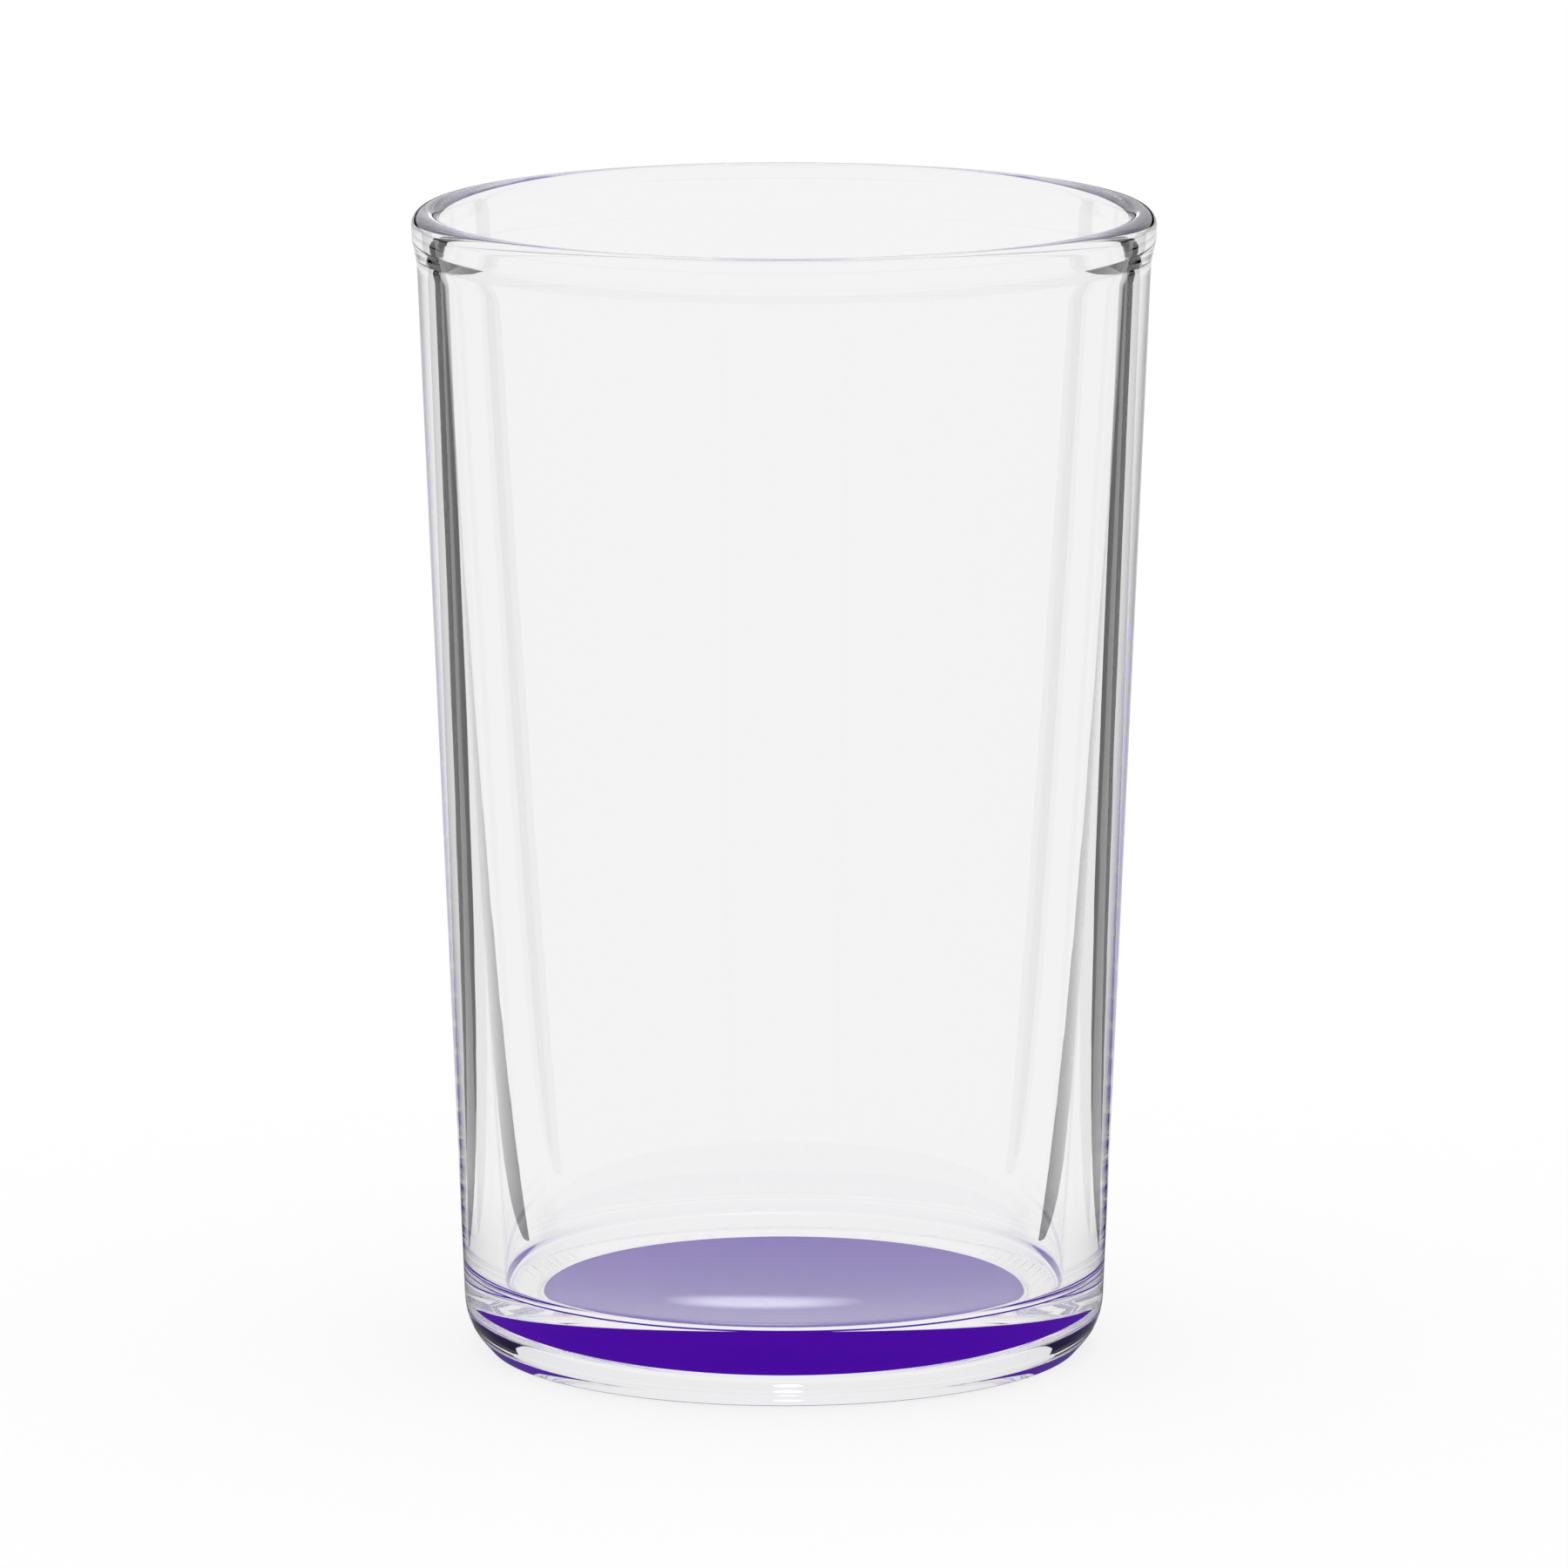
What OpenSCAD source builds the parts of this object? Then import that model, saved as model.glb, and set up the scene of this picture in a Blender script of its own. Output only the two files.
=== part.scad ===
// Sampler glass: a small clear tumbler with a violet colour coat under its base.
// Sizes are in millimetres. The origin is the centre of the foot on the table, and +Z is up.

/* [Outside] */
// Height from the table to the top of the rim
glass_h = 89; // [70:0.5:130]
// Outside diameter of the straight wall, carried up to the top of the rim
mouth_d = 56.8; // [52:0.2:80]
// Outside diameter of the straight wall, carried down to the table
base_d = 49.4; // [42:0.2:64]
// Height of the rounded heel between the wall and the foot
heel_h = 4; // [2:0.1:8]
// Inset of the ellipse that the heel's curve is a part of
heel_in = 2.8; // [1.5:0.1:4]

/* [Rim] */
// How far the fire-polished bead stands out from the wall
bead_out = 0.3; // [0.1:0.05:0.8]
// Depth of the bead below the top of the rim, where it starts to draw in
bead_drop = 2.2; // [1.6:0.1:2.8]
// Depth of the bead's neck, where it runs into the wall, below the top of the rim
neck_drop = 3.8; // [3.2:0.1:8]
// Radius that eases the bead into the wall at its neck
neck_r = 6; // [2:0.5:12]

/* [Inside] */
// Thickness of the wall at the rim
wall_top = 1.9; // [1.2:0.05:3]
// Thickness of the wall at the floor
wall_bottom = 3.1; // [2:0.05:5]
// Height of the floor's edge above the table
floor_z = 5.8; // [4.5:0.1:12]
// Dip of the dished floor from its edge to its middle
floor_dip = 1.3; // [0:0.1:2.5]
// Radius of the corner between the floor and the wall
corner_r = 1; // [0.5:0.1:6]

/* [Foot] */
// Width of the clear foot ring that stands on the table
foot_w = 3.2; // [1:0.1:4]
// Radius that eases the outer edge of the foot ring
foot_edge_r = 0.2; // [0.1:0.05:0.4]
// Depth of the recess inside the foot ring
recess_h = 0.5; // [0.3:0.05:1]

/* [Colour coat] */
// Thickness of the lacquer film
coat_t = 0.15; // [0.05:0.01:0.25]
// Clear margin between the film's edge and the recess's side
coat_margin = 0.5; // [0.2:0.1:3]

/* [Hidden] */
glass_colour = [0.86, 0.91, 0.93, 0.35];
coat_colour = [0.46, 0.0, 0.98];
// Steps along a rounded corner, along the heel and across the floor
arc_steps = 10;
heel_steps = 16;
floor_steps = 14;
turn_steps = 180;
// A fillet takes at most this share of the shorter edge beside it
fillet_share = 0.49;
// Below this angle of its ellipse, in degrees, the heel runs straight down to the foot
heel_cut = 40;
cut_rise = 1 - cos(heel_cut);
cut_inset = 1 - sin(heel_cut);
foot_r = base_d / 2 - heel_in * (cut_inset + cut_rise / tan(heel_cut));
recess_r = foot_r - foot_w;
coat_r = recess_r - coat_margin;
rim_t = wall_top + bead_out;
lip_r = rim_t / 2;
bead_r = bead_drop;
neck_z = glass_h - neck_drop;
bead_z = glass_h - bead_drop;

// Radius of the straight outer wall at a height
function outer_r(z) = (base_d + (mouth_d - base_d) * z / glass_h) / 2;

// Radius of the inner wall at a height
function inner_r(z) =
    outer_r(z) - wall_bottom + (wall_bottom - wall_top) * (z - floor_z) / (glass_h - floor_z);

function unit(v) = v / norm(v);

// The shorter way round from one angle to another
function turn(from, to) = (to - from + 540) % 360 - 180;

// Points of the arc that rounds corner b between its neighbours a and c
function rounded(a, b, c, r) =
    let (
        to_a = unit(a - b),
        to_c = unit(c - b),
        half = acos(to_a * to_c) / 2,
        room = fillet_share * min(norm(a - b), norm(c - b)),
        reach = min(r / tan(half), room),
        arc_r = reach * tan(half),
        middle = b + unit(to_a + to_c) * arc_r / sin(half),
        first = b + to_a * reach - middle,
        last = b + to_c * reach - middle,
        start = atan2(first[1], first[0]),
        sweep = turn(start, atan2(last[1], last[0]))
    )
    [for (i = [0:arc_steps]) middle + arc_r * [cos(start + sweep * i / arc_steps),
                                               sin(start + sweep * i / arc_steps)]];

// Corners of the recess and the foot, from the axis outwards
recess_mid = [0, recess_h];
recess_top = [recess_r, recess_h];
recess_foot = [recess_r, 0];
foot_edge = [foot_r, 0];

// Corners of the rim, from the outer wall over the lip to the inner wall
heel_top = [outer_r(heel_h), heel_h];
neck = [outer_r(neck_z), neck_z];
bead = [outer_r(bead_z) + bead_out, bead_z];
lip_out = [outer_r(glass_h) + bead_out, glass_h];
lip_in = [inner_r(glass_h), glass_h];
floor_corner = [inner_r(floor_z), floor_z];
floor_aim = [0, floor_z - 2 * floor_dip];

// The heel is a part of an ellipse that meets the wall along its slope, above a short cone
heel_points = [for (i = [0:heel_steps])
    let (a = heel_cut + (90 - heel_cut) * i / heel_steps, z = heel_h * (1 - cos(a)))
    [outer_r(z) - heel_in * (1 - sin(a)), z]];

// The floor is a shallow dish, a parabola that leaves its corner along the line to floor_aim
corner_points = rounded(lip_in, floor_corner, floor_aim, corner_r);
floor_edge = corner_points[arc_steps];
dish_h = floor_dip * floor_edge[0] / floor_corner[0];
floor_points = [for (i = [1:floor_steps])
    let (part = 1 - i / floor_steps)
    [floor_edge[0] * part, floor_edge[1] - dish_h * (1 - part * part)]];

glass_outline = concat(
    [recess_mid],
    rounded(recess_mid, recess_top, recess_foot, recess_h),
    rounded(recess_top, recess_foot, foot_edge, recess_h),
    rounded(recess_foot, foot_edge, heel_points[0], foot_edge_r),
    heel_points,
    rounded(heel_top, neck, bead, neck_r),
    rounded(neck, bead, lip_out, bead_r),
    rounded(bead, lip_out, lip_in, lip_r),
    rounded(lip_out, lip_in, floor_corner, lip_r),
    corner_points,
    floor_points
);

// Pressed clear glass, from the foot ring to the fire-polished rim
module glass_body() {
    color(glass_colour)
        rotate_extrude($fn = turn_steps)
            polygon(glass_outline);
}

// Lacquer film on the flat of the recess, clear of the table
module base_colour_coat() {
    color(coat_colour)
        translate([0, 0, recess_h - coat_t])
            cylinder(h = coat_t, r = coat_r, $fn = turn_steps);
}

glass_body();
base_colour_coat();
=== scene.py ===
import math

import bpy
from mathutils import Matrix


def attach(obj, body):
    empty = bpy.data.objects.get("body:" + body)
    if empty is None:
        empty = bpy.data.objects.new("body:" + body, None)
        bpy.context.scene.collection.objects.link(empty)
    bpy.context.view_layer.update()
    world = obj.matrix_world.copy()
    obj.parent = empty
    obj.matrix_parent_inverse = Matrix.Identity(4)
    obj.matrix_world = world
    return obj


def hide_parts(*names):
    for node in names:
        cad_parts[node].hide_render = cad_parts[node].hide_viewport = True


# Looks of the sampler glass: a clear pressed tumbler with a violet lacquer film under its base.
# Metres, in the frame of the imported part: the foot stands on z = 0 at the origin and +Z is up.
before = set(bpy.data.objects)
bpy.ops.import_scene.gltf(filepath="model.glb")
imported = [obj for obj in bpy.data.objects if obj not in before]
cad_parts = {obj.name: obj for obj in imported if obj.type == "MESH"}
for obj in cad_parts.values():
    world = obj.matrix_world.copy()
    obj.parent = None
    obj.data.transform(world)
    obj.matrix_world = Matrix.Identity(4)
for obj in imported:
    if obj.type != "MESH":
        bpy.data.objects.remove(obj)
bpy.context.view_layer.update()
scene = bpy.context.scene

MM = 0.001

# Sizes in millimetres, the same as in the part's source
GLASS_SIZES = {
    "Height": 89.0,
    "Mouth diameter": 56.8,
    "Base diameter": 49.4,
    "Heel height": 4.0,
    "Heel inset": 2.8,
    "Foot edge radius": 0.2,
    "Bead stand-out": 0.3,
    "Bead drop": 2.2,
    "Neck drop": 3.8,
    "Neck radius": 6.0,
    "Wall at rim": 1.9,
    "Wall at floor": 3.1,
    "Floor edge height": 5.8,
    "Floor dip": 1.3,
    "Corner radius": 1.0,
    "Foot width": 3.2,
    "Recess depth": 0.5,
}
# The film's top lies a little way into the glass, so that no air shows between them
FILM_SIZES = {
    "Radius": 19.22,
    "Underside": 0.35,
    "Top": 0.53,
    "Edge radius": 0.05,
}
TURN_STEPS = 224
CORNER_STEPS = 12
HEEL_STEPS = 24
FLOOR_STEPS = 24
# A ring this far from a rounded corner keeps the flat beside it flat in smooth shading
KEEP_FLAT = 0.25 * MM
# Below this angle of its ellipse the heel runs straight down to the foot
HEEL_CUT = math.radians(40.0)
# A corner's rounding reaches this share past its end, so that the next section starts on it
PAST_CORNER = 1.002
# The recess's two roundings each take this share of its depth
STEP_SHARE = 0.49
# Shares of their radii within which the roundings of the neck and the lip run out on the wall
NECK_SHARE = 0.12
LIP_SHARE = 1.1
# Points this close are one point where sections meet
MERGE = 0.004 * MM

BLACK = (0.0, 0.0, 0.0, 1.0)
WHITE = (1.0, 1.0, 1.0, 1.0)
GLASS_TINT = (0.999, 0.999, 0.999, 1.0)
GLASS_IOR = 1.52
LACQUER_DEEP = (0.18, 0.0, 0.94, 1.0)
LACQUER_LIGHT = (0.22, 0.0, 0.98, 1.0)
FLOOR_TINT = (0.97, 0.97, 0.97, 1.0)


class Tree:
    """A node tree, with short calls that add a node and join its sockets."""

    def __init__(self, tree):
        self.tree = tree

    def add(self, kind, inputs=None, **settings):
        made = self.tree.nodes.new(kind)
        for name, value in settings.items():
            setattr(made, name, value)
        for key, value in (inputs or {}).items():
            self.feed(made.inputs[key], value)
        return made

    def feed(self, socket, value):
        if isinstance(value, Amount):
            value = value.socket
        if isinstance(value, bpy.types.NodeSocket):
            self.tree.links.new(value, socket)
        else:
            socket.default_value = value

    def math(self, operation, first, second=0.0):
        made = self.add("ShaderNodeMath", operation=operation)
        self.feed(made.inputs[0], first)
        self.feed(made.inputs[1], second)
        return Amount(self, made.outputs[0])


class Amount:
    """A number in a node tree that takes part in plain sums."""

    def __init__(self, tree, socket):
        self.tree = tree
        self.socket = socket

    def __add__(self, other):
        return self.tree.math("ADD", self, other)

    def __sub__(self, other):
        return self.tree.math("SUBTRACT", self, other)

    def __rsub__(self, other):
        return self.tree.math("SUBTRACT", other, self)

    def __mul__(self, other):
        return self.tree.math("MULTIPLY", self, other)

    def __truediv__(self, other):
        return self.tree.math("DIVIDE", self, other)

    __radd__ = __add__

    def root(self):
        return self.tree.math("SQRT", self)

    def sine(self):
        return self.tree.math("SINE", self)

    def cosine(self):
        return self.tree.math("COSINE", self)


def shape_tree(name, sizes):
    """A Geometry Nodes tree with one named length for each size, and the sizes as amounts."""
    made = bpy.data.node_groups.new(name, "GeometryNodeTree")
    sockets = made.interface
    sockets.new_socket("Geometry", in_out="OUTPUT", socket_type="NodeSocketGeometry")
    steps = sockets.new_socket("Turn steps", in_out="INPUT", socket_type="NodeSocketInt")
    steps.default_value = TURN_STEPS
    for size in sizes:
        length = sockets.new_socket(size, in_out="INPUT", socket_type="NodeSocketFloat")
        length.subtype = "DISTANCE"
    tree = Tree(made)
    given = tree.add("NodeGroupInput")
    amounts = {size: Amount(tree, given.outputs[size]) for size in sizes}
    return tree, given.outputs["Turn steps"], amounts


def turning_group():
    """A node group that turns an open section, drawn in the XZ plane, about the Z axis."""
    group = bpy.data.node_groups.new("turned_section", "GeometryNodeTree")
    sockets = group.interface
    sockets.new_socket("Section", in_out="INPUT", socket_type="NodeSocketGeometry")
    sockets.new_socket("Turn steps", in_out="INPUT", socket_type="NodeSocketInt")
    sockets.new_socket("Surface", in_out="OUTPUT", socket_type="NodeSocketGeometry")
    tree = Tree(group)
    given = tree.add("NodeGroupInput")
    steps = Amount(tree, given.outputs["Turn steps"])
    wire = tree.add("GeometryNodeCurveToMesh", {"Curve": given.outputs["Section"]}).outputs["Mesh"]
    count = tree.add("GeometryNodeAttributeDomainSize", {"Geometry": wire}, component="MESH")
    columns = steps + 1.0
    grid = tree.add(
        "GeometryNodeMeshGrid",
        {"Vertices X": count.outputs["Point Count"], "Vertices Y": columns},
    )
    index = Amount(tree, tree.add("GeometryNodeInputIndex").outputs["Index"])
    row = tree.math("FLOOR", (index + 0.5) / columns)
    angle = (index - row * columns) * (2.0 * math.pi) / steps
    place = tree.add("GeometryNodeInputPosition").outputs["Position"]
    sample = tree.add(
        "GeometryNodeSampleIndex",
        {"Geometry": wire, "Value": place, "Index": row},
        data_type="FLOAT_VECTOR",
        domain="POINT",
    )
    parts = tree.add("ShaderNodeSeparateXYZ", {"Vector": sample.outputs["Value"]})
    radius = Amount(tree, parts.outputs["X"])
    turned = tree.add(
        "ShaderNodeCombineXYZ",
        {"X": radius * angle.cosine(), "Y": radius * angle.sine(), "Z": parts.outputs["Z"]},
    )
    surface = tree.add(
        "GeometryNodeSetPosition",
        {"Geometry": grid.outputs["Mesh"], "Position": turned.outputs["Vector"]},
    )
    done = tree.add("NodeGroupOutput")
    tree.feed(done.inputs["Surface"], surface.outputs["Geometry"])
    return group


def row_of_points(tree, count, position):
    """An open line of points, each placed by its own index."""
    line = tree.add("GeometryNodeMeshLine", {"Count": count})
    placed = tree.add(
        "GeometryNodeSetPosition",
        {"Geometry": line.outputs["Mesh"], "Position": position},
    )
    curve = tree.add("GeometryNodeMeshToCurve", {"Mesh": placed.outputs["Geometry"]})
    return curve.outputs["Curve"]


def picked_by_index(tree, kind, choices):
    """The choice whose place in the list is the point's index."""
    switch = tree.add("GeometryNodeIndexSwitch", data_type=kind)
    while len(switch.index_switch_items) < len(choices):
        switch.index_switch_items.new()
    tree.feed(switch.inputs[0], tree.add("GeometryNodeInputIndex").outputs["Index"])
    for i, choice in enumerate(choices):
        tree.feed(switch.inputs[1 + i], choice)
    return switch.outputs[0]


def point_at(tree, radius, height):
    """A point of a section, in the XZ plane."""
    return tree.add("ShaderNodeCombineXYZ", {"X": radius, "Z": height}).outputs["Vector"]


def cornered_section(tree, corners):
    """A section through (radius, height, rounding) corners."""
    points = [point_at(tree, radius, height) for radius, height, _ in corners]
    curve = row_of_points(tree, len(corners), picked_by_index(tree, "VECTOR", points))
    fillet = tree.add(
        "GeometryNodeFilletCurve",
        {
            "Curve": curve,
            "Count": CORNER_STEPS,
            "Radius": picked_by_index(tree, "FLOAT", [rounding for _, _, rounding in corners]),
            "Limit Radius": True,
        },
        mode="POLY",
    )
    return fillet.outputs["Curve"]


def finish_shape(tree, turn_steps, sections, material):
    """Turns the sections, joins them into one closed skin and gives it its material."""
    joined = tree.add("GeometryNodeJoinGeometry")
    for section in sections:
        turned = tree.add("GeometryNodeGroup", node_tree=TURNING)
        tree.feed(turned.inputs["Section"], section)
        tree.feed(turned.inputs["Turn steps"], turn_steps)
        tree.feed(joined.inputs["Geometry"], turned.outputs["Surface"])
    merged = tree.add(
        "GeometryNodeMergeByDistance",
        {"Geometry": joined.outputs["Geometry"], "Distance": MERGE},
    )
    outward = tree.add("GeometryNodeFlipFaces", {"Mesh": merged.outputs["Geometry"]})
    smooth = tree.add(
        "GeometryNodeSetShadeSmooth",
        {"Geometry": outward.outputs["Mesh"], "Shade Smooth": True},
    )
    real = tree.add("GeometryNodeRealizeInstances", {"Geometry": smooth.outputs["Geometry"]})
    coloured = tree.add(
        "GeometryNodeSetMaterial",
        {"Geometry": real.outputs["Geometry"], "Material": material},
    )
    done = tree.add("NodeGroupOutput")
    tree.feed(done.inputs["Geometry"], coloured.outputs["Geometry"])


def glass_tree(material):
    """The turned glass: recess and foot ring, heel, wall with its bead and lip, dished floor."""
    tree, turn_steps, size = shape_tree("turned_glass", GLASS_SIZES)
    height = size["Height"]
    recess = size["Recess depth"]
    heel = size["Heel height"]
    floor = size["Floor edge height"]
    corner = size["Corner radius"]
    mouth_r = size["Mouth diameter"] / 2.0
    base_r = size["Base diameter"] / 2.0

    def outer_r(z):
        return base_r + (mouth_r - base_r) * z / height

    def inner_r(z):
        gain = size["Wall at floor"] - size["Wall at rim"]
        return outer_r(z) - size["Wall at floor"] + gain * (z - floor) / (height - floor)

    # The heel is a part of an ellipse that meets the wall along its slope, and a cone below it
    def heel_point(rise, inset):
        z = heel * rise
        return outer_r(z) - size["Heel inset"] * inset, z

    cut_rise = 1.0 - math.cos(HEEL_CUT)
    cut_inset = 1.0 - math.sin(HEEL_CUT)
    cut_r, cut_z = heel_point(cut_rise, cut_inset)
    foot_r = base_r - size["Heel inset"] * (cut_inset + cut_rise / math.tan(HEEL_CUT))
    recess_r = foot_r - size["Foot width"]
    step_r = recess * STEP_SHARE
    under = cornered_section(
        tree,
        [
            (0.0, recess, 0.0),
            (recess_r - step_r - KEEP_FLAT, recess, 0.0),
            (recess_r, recess, step_r),
            (recess_r, 0.0, step_r),
            (recess_r + step_r + KEEP_FLAT, 0.0, 0.0),
            (foot_r - size["Foot edge radius"] - KEEP_FLAT, 0.0, 0.0),
            (foot_r, 0.0, size["Foot edge radius"]),
            ((foot_r + cut_r) / 2.0, cut_z / 2.0, 0.0),
            (cut_r, cut_z, 0.0),
        ],
    )

    index = Amount(tree, tree.add("GeometryNodeInputIndex").outputs["Index"])
    angle = HEEL_CUT + index * ((0.5 * math.pi - HEEL_CUT) / HEEL_STEPS)
    heel_r, heel_z = heel_point(1.0 - angle.cosine(), 1.0 - angle.sine())
    heel_curve = row_of_points(tree, HEEL_STEPS + 1, point_at(tree, heel_r, heel_z))

    lip = (size["Wall at rim"] + size["Bead stand-out"]) / 2.0
    neck_z = height - size["Neck drop"]
    bead_z = height - size["Bead drop"]
    neck_end = neck_z - size["Neck radius"] * NECK_SHARE
    lip_end = height - lip * LIP_SHARE
    floor_r = inner_r(floor)
    # The floor's slope at its edge, and the way from its corner up the wall and in along the floor
    slope = size["Floor dip"] * 2.0 / floor_r
    run = (1.0 + slope * slope).root()
    wall_in = inner_r(height) - floor_r
    wall_up = height - floor
    wall_long = (wall_in * wall_in + wall_up * wall_up).root()
    turn = (wall_in * -1.0 - wall_up * slope) / (wall_long * run)
    reach = corner * ((1.0 + turn) / (1.0 - turn)).root() * PAST_CORNER
    edge_r = floor_r - reach / run
    edge_z = floor - reach * slope / run
    wall = cornered_section(
        tree,
        [
            (outer_r(heel), heel, 0.0),
            (outer_r(heel + KEEP_FLAT), heel + KEEP_FLAT, 0.0),
            (outer_r(neck_end), neck_end, 0.0),
            (outer_r(neck_z), neck_z, size["Neck radius"]),
            (outer_r(bead_z) + size["Bead stand-out"], bead_z, size["Bead drop"]),
            (mouth_r + size["Bead stand-out"], height, lip),
            (inner_r(height), height, lip),
            (inner_r(lip_end - KEEP_FLAT), lip_end - KEEP_FLAT, 0.0),
            (inner_r(floor + corner + KEEP_FLAT), floor + corner + KEEP_FLAT, 0.0),
            (floor_r, floor, corner),
            (edge_r, edge_z, 0.0),
        ],
    )

    # The floor is a shallow dish, a parabola that leaves its edge along the slope
    part = 1.0 - index / float(FLOOR_STEPS)
    dish_z = edge_z - slope * edge_r / 2.0 * (1.0 - part * part)
    dish = row_of_points(tree, FLOOR_STEPS + 1, point_at(tree, edge_r * part, dish_z))

    finish_shape(tree, turn_steps, [under, heel_curve, wall, dish], material)
    return tree.tree


def film_tree(material):
    """The lacquer film: a thin disc with a rounded edge."""
    tree, turn_steps, size = shape_tree("lacquer_film", FILM_SIZES)
    radius, under, top = size["Radius"], size["Underside"], size["Top"]
    flat_r = radius - size["Edge radius"] - KEEP_FLAT
    section = cornered_section(
        tree,
        [
            (0.0, under, 0.0),
            (flat_r, under, 0.0),
            (radius, under, size["Edge radius"]),
            (radius, top, size["Edge radius"]),
            (flat_r, top, 0.0),
            (0.0, top, 0.0),
        ],
    )
    finish_shape(tree, turn_steps, [section], material)
    return tree.tree


def made_piece(name, tree, sizes):
    """The plain mesh that a shape tree makes with these sizes in millimetres, as a new object."""
    holder = bpy.data.objects.new(name + "_source", bpy.data.meshes.new(name + "_source"))
    scene.collection.objects.link(holder)
    modifier = holder.modifiers.new("shape", "NODES")
    modifier.node_group = tree
    for item in tree.interface.items_tree:
        if item.item_type == "SOCKET" and item.in_out == "INPUT" and item.name in sizes:
            modifier[item.identifier] = sizes[item.name] * MM
    bpy.context.view_layer.update()
    shaped = holder.evaluated_get(bpy.context.evaluated_depsgraph_get())
    mesh = bpy.data.meshes.new_from_object(shaped)
    holder.modifiers.remove(modifier)
    bpy.data.objects.remove(holder)
    mesh.name = name
    piece = bpy.data.objects.new(name, mesh)
    scene.collection.objects.link(piece)
    return piece


def new_material(name):
    """A new material, its node tree and its shader."""
    material = bpy.data.materials.new(name)
    material.use_nodes = True
    tree = Tree(material.node_tree)
    shader = material.node_tree.nodes["Principled BSDF"]
    return material, tree, shader


def clear_glass():
    """Clear pressed glass: polished, with the faint waviness that the mould leaves."""
    material, tree, shader = new_material("clear_glass")
    shader.inputs["Base Color"].default_value = GLASS_TINT
    shader.inputs["IOR"].default_value = GLASS_IOR
    shader.inputs["Transmission Weight"].default_value = 1.0
    place = tree.add("ShaderNodeTexCoord").outputs["Object"]
    waves = tree.add(
        "ShaderNodeTexNoise",
        {"Vector": place, "Scale": 60.0, "Detail": 1.0, "Roughness": 0.4},
    )
    bump = tree.add(
        "ShaderNodeBump",
        {"Height": waves.outputs["Fac"], "Strength": 0.03, "Distance": 0.00002},
    )
    tree.feed(shader.inputs["Normal"], bump.outputs["Normal"])
    haze = tree.add(
        "ShaderNodeMapRange",
        {"Value": waves.outputs["Fac"], "From Min": 0.45, "From Max": 0.8, "To Max": 0.02},
    )
    tree.feed(shader.inputs["Roughness"], haze.outputs["Result"])
    return material


def violet_lacquer():
    """Sprayed violet lacquer, slightly cloudy where the coats overlap."""
    material, tree, shader = new_material("violet_lacquer")
    shader.inputs["Specular IOR Level"].default_value = 0.0
    place = tree.add("ShaderNodeTexCoord").outputs["Object"]
    clouds = tree.add(
        "ShaderNodeTexNoise",
        {"Vector": place, "Scale": 140.0, "Detail": 3.0, "Roughness": 0.55},
    )
    tone = tree.add("ShaderNodeValToRGB", {"Fac": clouds.outputs["Fac"]})
    deep, light = tone.color_ramp.elements
    deep.position, deep.color = 0.3, LACQUER_DEEP
    light.position, light.color = 0.7, LACQUER_LIGHT
    tree.feed(shader.inputs["Base Color"], tone.outputs["Color"])
    gloss = tree.add(
        "ShaderNodeMapRange",
        {"Value": clouds.outputs["Fac"], "To Min": 0.28, "To Max": 0.42},
    )
    tree.feed(shader.inputs["Roughness"], gloss.outputs["Result"])
    peel = tree.add("ShaderNodeTexNoise", {"Vector": place, "Scale": 1500.0, "Detail": 2.0})
    bump = tree.add(
        "ShaderNodeBump",
        {"Height": peel.outputs["Fac"], "Strength": 0.15, "Distance": 0.00004},
    )
    tree.feed(shader.inputs["Normal"], bump.outputs["Normal"])
    return material


TURNING = turning_group()
glass = made_piece("glass_body_turned", glass_tree(clear_glass()), GLASS_SIZES)
film = made_piece("base_colour_film", film_tree(violet_lacquer()), FILM_SIZES)
for piece, node, slot in (
    (glass, "glass_body", "clear_glass"),
    (film, "base_colour_coat", "violet_lacquer"),
):
    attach(piece, "root")
    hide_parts(node)

# White studio: the camera and what shines through the glass see white. A painted shade dims the
# floor close round the foot where the glass mirrors it, so that the lacquer shows through.
SEEN_THROUGH = 0.91
MIRRORED = 0.75
MIRRORED_SHADE = 0.1
SHADE_NEAR, SHADE_FAR = 0.055, 0.075
ROOM_LIGHT = 1.05
# The floor lies a hair under the foot, as a table does between its high spots
FLOOR_HALF = 6.0
FLOOR_GAP = 0.00003
# Share of the floor's white that the camera sees whatever the light on it
FLOOR_GLOW = 0.75
# Two dark flags stand edge-on behind the glass, one to each side, and draw the dark lines in its
# walls. Their near edges lean away from the glass, so that the lines widen towards the base.
FLAG_DEGREES = (45, 135)
FLAG_FOOT_NEAR, FLAG_TOP_NEAR = 0.040, 0.140
FLAG_FAR = 0.600
FLAG_HEIGHT = 0.120
# A dark hoop hangs round the rim, too high to be seen through the wall, and darkens the rim's ends
HOOP_RADIUS = 0.046
HOOP_FOOT, HOOP_TOP = 0.0882, 0.0908
HOOP_STEPS = 96
# A bright card far behind the glass is mirrored in the floor of the glass as a soft highlight.
# From this share of its half size outwards it fades to the level of the room.
CARD_PLACE = (-0.011, 1.3, 0.198)
CARD_HALF_WIDTH, CARD_HALF_HEIGHT = 0.044, 0.046
CARD_LEVEL = 2.0
CARD_CORE = 0.4
# The corners of a card, in half sizes from its middle
CARD_CORNERS = ((-1, -1), (1, -1), (1, 1), (-1, 1))
ONE_FACE = [(0, 1, 2, 3)]


def studio_level(tree, mirrored):
    """Strength of the white that a ray meets, by the kind of ray, and the kinds themselves."""
    rays = tree.add("ShaderNodeLightPath").outputs
    through = tree.add(
        "ShaderNodeMapRange",
        {"Value": rays["Is Transmission Ray"], "To Min": mirrored, "To Max": SEEN_THROUGH},
    )
    shown = tree.math("MAXIMUM", through.outputs["Result"], rays["Is Camera Ray"])
    return shown, rays


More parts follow.
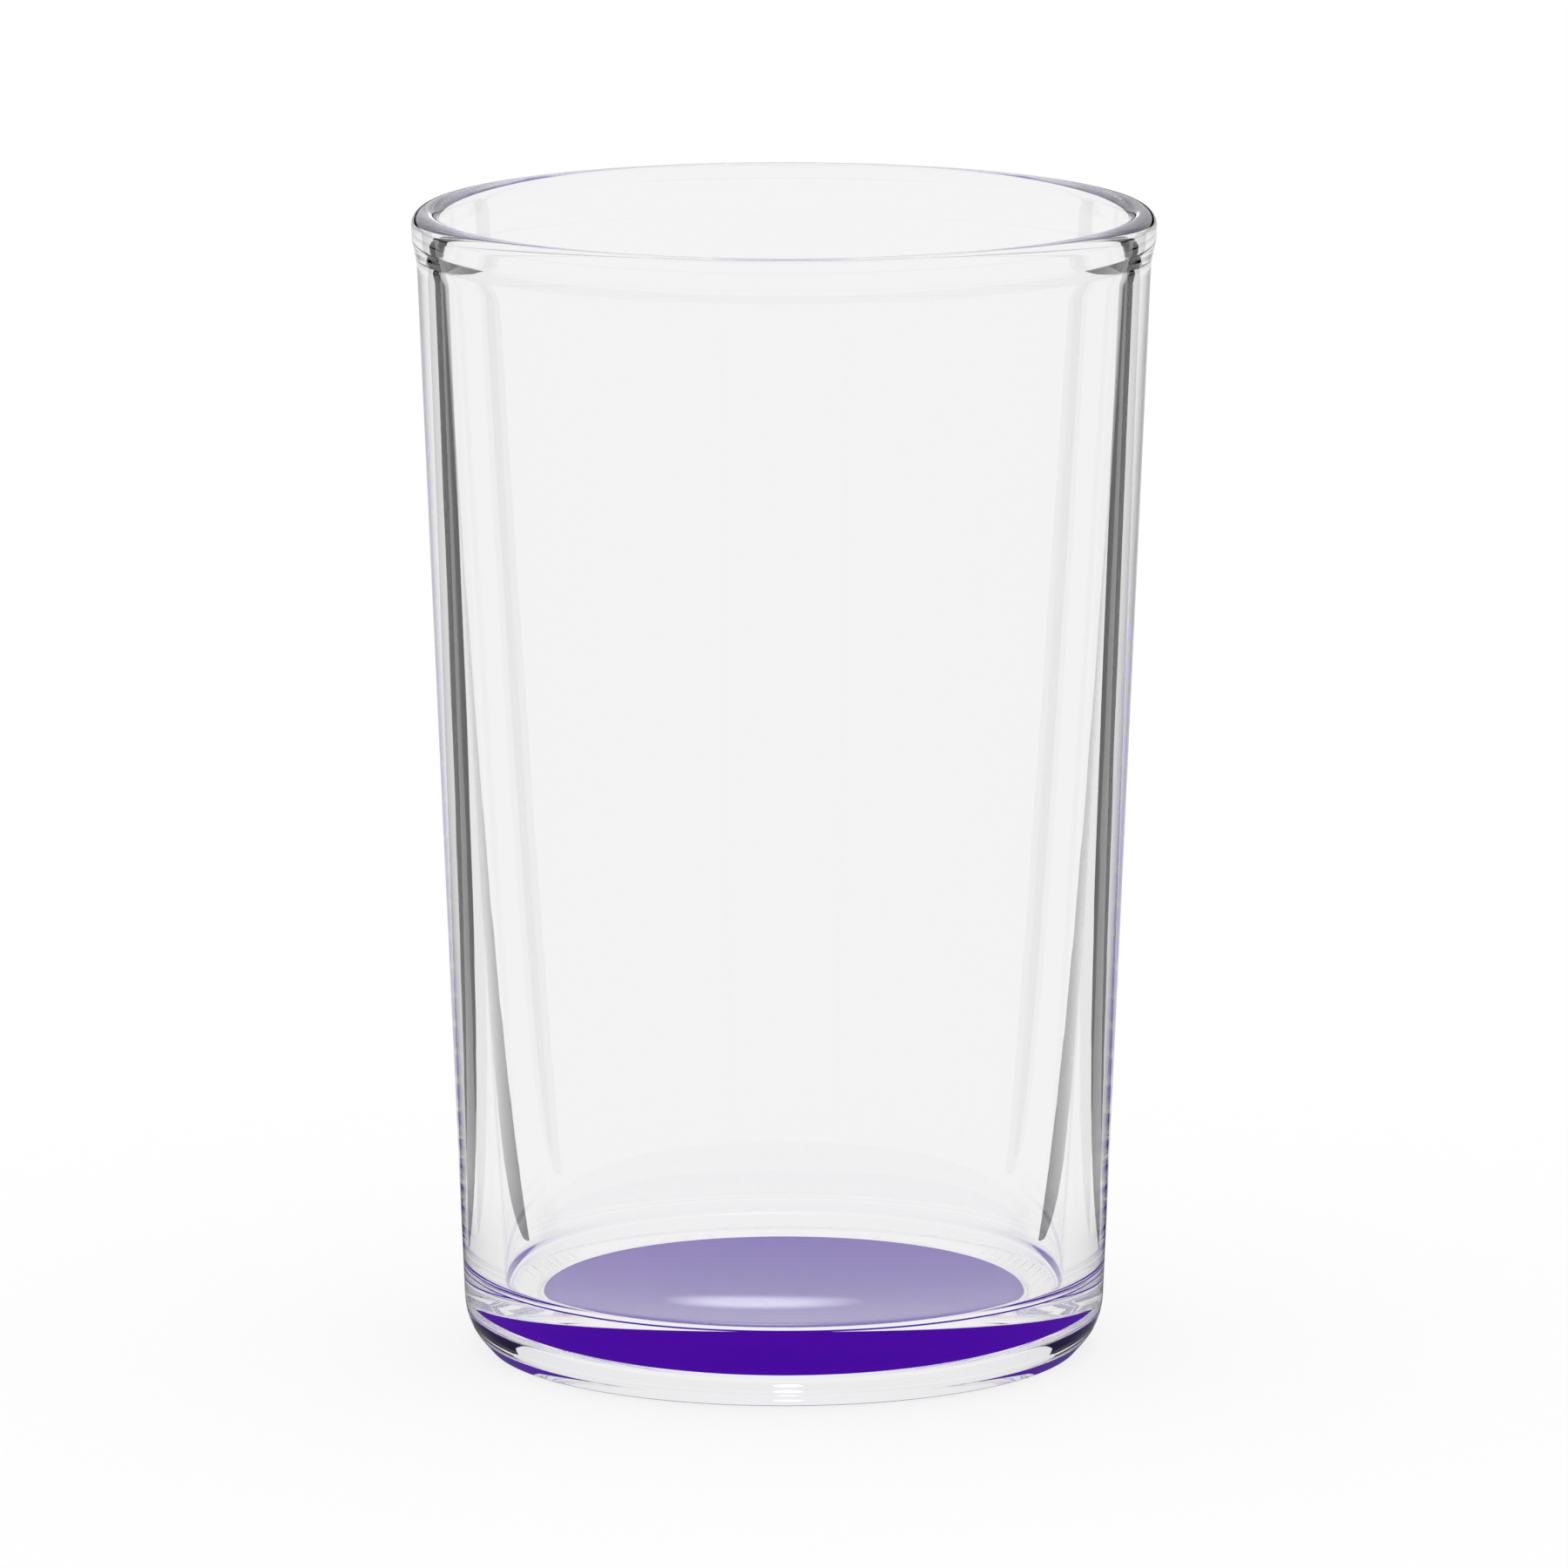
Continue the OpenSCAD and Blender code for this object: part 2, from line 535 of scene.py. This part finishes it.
def white_room():
    """The world: white, and a plain even light on what it falls on."""
    world = bpy.data.worlds.new("studio")
    scene.world = world
    world.use_nodes = True
    tree = Tree(world.node_tree)
    backdrop = world.node_tree.nodes["Background"]
    backdrop.inputs["Color"].default_value = WHITE
    seen, rays = studio_level(tree, MIRRORED)
    lit = tree.math("MULTIPLY", rays["Is Diffuse Ray"], ROOM_LIGHT)
    tree.feed(backdrop.inputs["Strength"], tree.math("MAXIMUM", seen, lit))


def stage_piece(name, points, faces, material):
    """A piece of the studio, which isn't a part of the object."""
    mesh = bpy.data.meshes.new(name)
    mesh.from_pydata(points, [], faces)
    mesh.materials.append(material)
    piece = bpy.data.objects.new(name, mesh)
    scene.collection.objects.link(piece)
    return piece


def hidden_card(name, points, faces, material):
    """A card of the studio that only the glass sees, by what it bends or mirrors."""
    card = stage_piece(name, points, faces, material)
    card.visible_camera = False
    card.visible_diffuse = False
    card.visible_shadow = False


def white_floor():
    """Matt white: the camera sees it mostly glowing, so that it stays white and keeps the shadow."""
    material, tree, shader = new_material("white_floor")
    shader.inputs["Base Color"].default_value = FLOOR_TINT
    shader.inputs["Roughness"].default_value = 1.0
    shader.inputs["Specular IOR Level"].default_value = 0.0
    place = tree.add("ShaderNodeTexCoord").outputs["Object"]
    distance = tree.add("ShaderNodeVectorMath", {0: place}, operation="LENGTH")
    # Painted shade: a dim disc round the foot, which only the glass's reflections see
    shade = tree.add(
        "ShaderNodeMapRange",
        {
            "Value": distance.outputs["Value"],
            "From Min": SHADE_NEAR,
            "From Max": SHADE_FAR,
            "To Min": MIRRORED_SHADE,
            "To Max": MIRRORED,
        },
    )
    seen, rays = studio_level(tree, shade.outputs["Result"])
    white = tree.add("ShaderNodeEmission", {"Strength": seen})
    lit_share = tree.math("MULTIPLY", rays["Is Camera Ray"], 1.0 - FLOOR_GLOW)
    mix = tree.add(
        "ShaderNodeMixShader",
        {
            0: tree.math("MAXIMUM", rays["Is Diffuse Ray"], lit_share),
            1: white.outputs["Emission"],
            2: shader.outputs["BSDF"],
        },
    )
    end = material.node_tree.nodes["Material Output"]
    tree.feed(end.inputs["Surface"], mix.outputs["Shader"])
    return material


def dark_card():
    """Black card without any shine."""
    material, _, shader = new_material("dark_flag")
    shader.inputs["Base Color"].default_value = BLACK
    shader.inputs["Specular IOR Level"].default_value = 0.0
    return material


def bright_card():
    """Glowing card, brightest in its middle."""
    material, tree, shader = new_material("bright_card")
    shader.inputs["Base Color"].default_value = BLACK
    shader.inputs["Specular IOR Level"].default_value = 0.0
    shader.inputs["Emission Color"].default_value = WHITE
    place = tree.add("ShaderNodeTexCoord").outputs["Object"]
    from_middle = tree.add("ShaderNodeVectorMath", {0: place, 1: CARD_PLACE}, operation="SUBTRACT")
    per_half_size = (1.0 / CARD_HALF_WIDTH, 0.0, 1.0 / CARD_HALF_HEIGHT)
    share = tree.add(
        "ShaderNodeVectorMath",
        {0: from_middle.outputs["Vector"], 1: per_half_size},
        operation="MULTIPLY",
    )
    outwards = tree.add("ShaderNodeVectorMath", {0: share.outputs["Vector"]}, operation="LENGTH")
    fade = tree.add(
        "ShaderNodeMapRange",
        {
            "Value": outwards.outputs["Value"],
            "From Min": CARD_CORE,
            "To Min": CARD_LEVEL,
            "To Max": SEEN_THROUGH,
        },
    )
    tree.feed(shader.inputs["Emission Strength"], fade.outputs["Result"])
    return material


def flag_points(degrees):
    """The corners of the flag that stands in this direction from the glass."""
    across, along = math.cos(math.radians(degrees)), math.sin(math.radians(degrees))
    outline = (
        (FLAG_FOOT_NEAR, 0.0),
        (FLAG_FAR, 0.0),
        (FLAG_FAR, FLAG_HEIGHT),
        (FLAG_TOP_NEAR, FLAG_HEIGHT),
    )
    return [(radius * across, radius * along, height) for radius, height in outline]


def hoop_ring(height):
    """One edge of the hoop."""
    angles = [2.0 * math.pi * step / HOOP_STEPS for step in range(HOOP_STEPS)]
    return [(HOOP_RADIUS * math.cos(a), HOOP_RADIUS * math.sin(a), height) for a in angles]


white_room()
floor_points = [(x * FLOOR_HALF, y * FLOOR_HALF, -FLOOR_GAP) for x, y in CARD_CORNERS]
stage_piece("floor", floor_points, ONE_FACE, white_floor())
flag_black = dark_card()
for number, degrees in enumerate(FLAG_DEGREES):
    hidden_card("dark_flag_%d" % number, flag_points(degrees), ONE_FACE, flag_black)
hoop_faces = [
    (step, (step + 1) % HOOP_STEPS, HOOP_STEPS + (step + 1) % HOOP_STEPS, HOOP_STEPS + step)
    for step in range(HOOP_STEPS)
]
hidden_card("dark_hoop", hoop_ring(HOOP_FOOT) + hoop_ring(HOOP_TOP), hoop_faces, flag_black)
card_x, card_y, card_z = CARD_PLACE
card_points = [
    (card_x + right * CARD_HALF_WIDTH, card_y, card_z + up * CARD_HALF_HEIGHT)
    for right, up in CARD_CORNERS
]
hidden_card("bright_card", card_points, ONE_FACE, bright_card())

# The photograph's view. The camera's place is in radii of the glass's mouth, its pitch in degrees
# below level and its focal length in pixels of the photograph's 1800 pixel frame.
FRAME_PIXELS = 1800
SENSOR = 36.0
MOUTH_RADIUS = GLASS_SIZES["Mouth diameter"] / 2.0 * MM
CAMERA_BACK = 35.38297 * MOUTH_RADIUS
CAMERA_UP = 7.91243 * MOUTH_RADIUS
CAMERA_PITCH = 10.18801
FOCAL_PIXELS = 15135.69
NEAREST, FARTHEST = 0.05, 50.0
lens = bpy.data.cameras.new("camera")
lens.sensor_width = SENSOR
lens.sensor_fit = "HORIZONTAL"
lens.lens = SENSOR * FOCAL_PIXELS / FRAME_PIXELS
lens.clip_start = NEAREST
lens.clip_end = FARTHEST
camera = bpy.data.objects.new("camera", lens)
camera.location = (0.0, -CAMERA_BACK, CAMERA_UP)
camera.rotation_euler = (math.radians(90.0 - CAMERA_PITCH), 0.0, 0.0)
scene.collection.objects.link(camera)
scene.camera = camera

# Light runs up the wall by many small reflections before it leaves the glass
LIGHT_BOUNCES = 64
scene.cycles.max_bounces = LIGHT_BOUNCES
scene.cycles.glossy_bounces = LIGHT_BOUNCES
scene.cycles.transmission_bounces = LIGHT_BOUNCES
scene.view_settings.view_transform = "Standard"
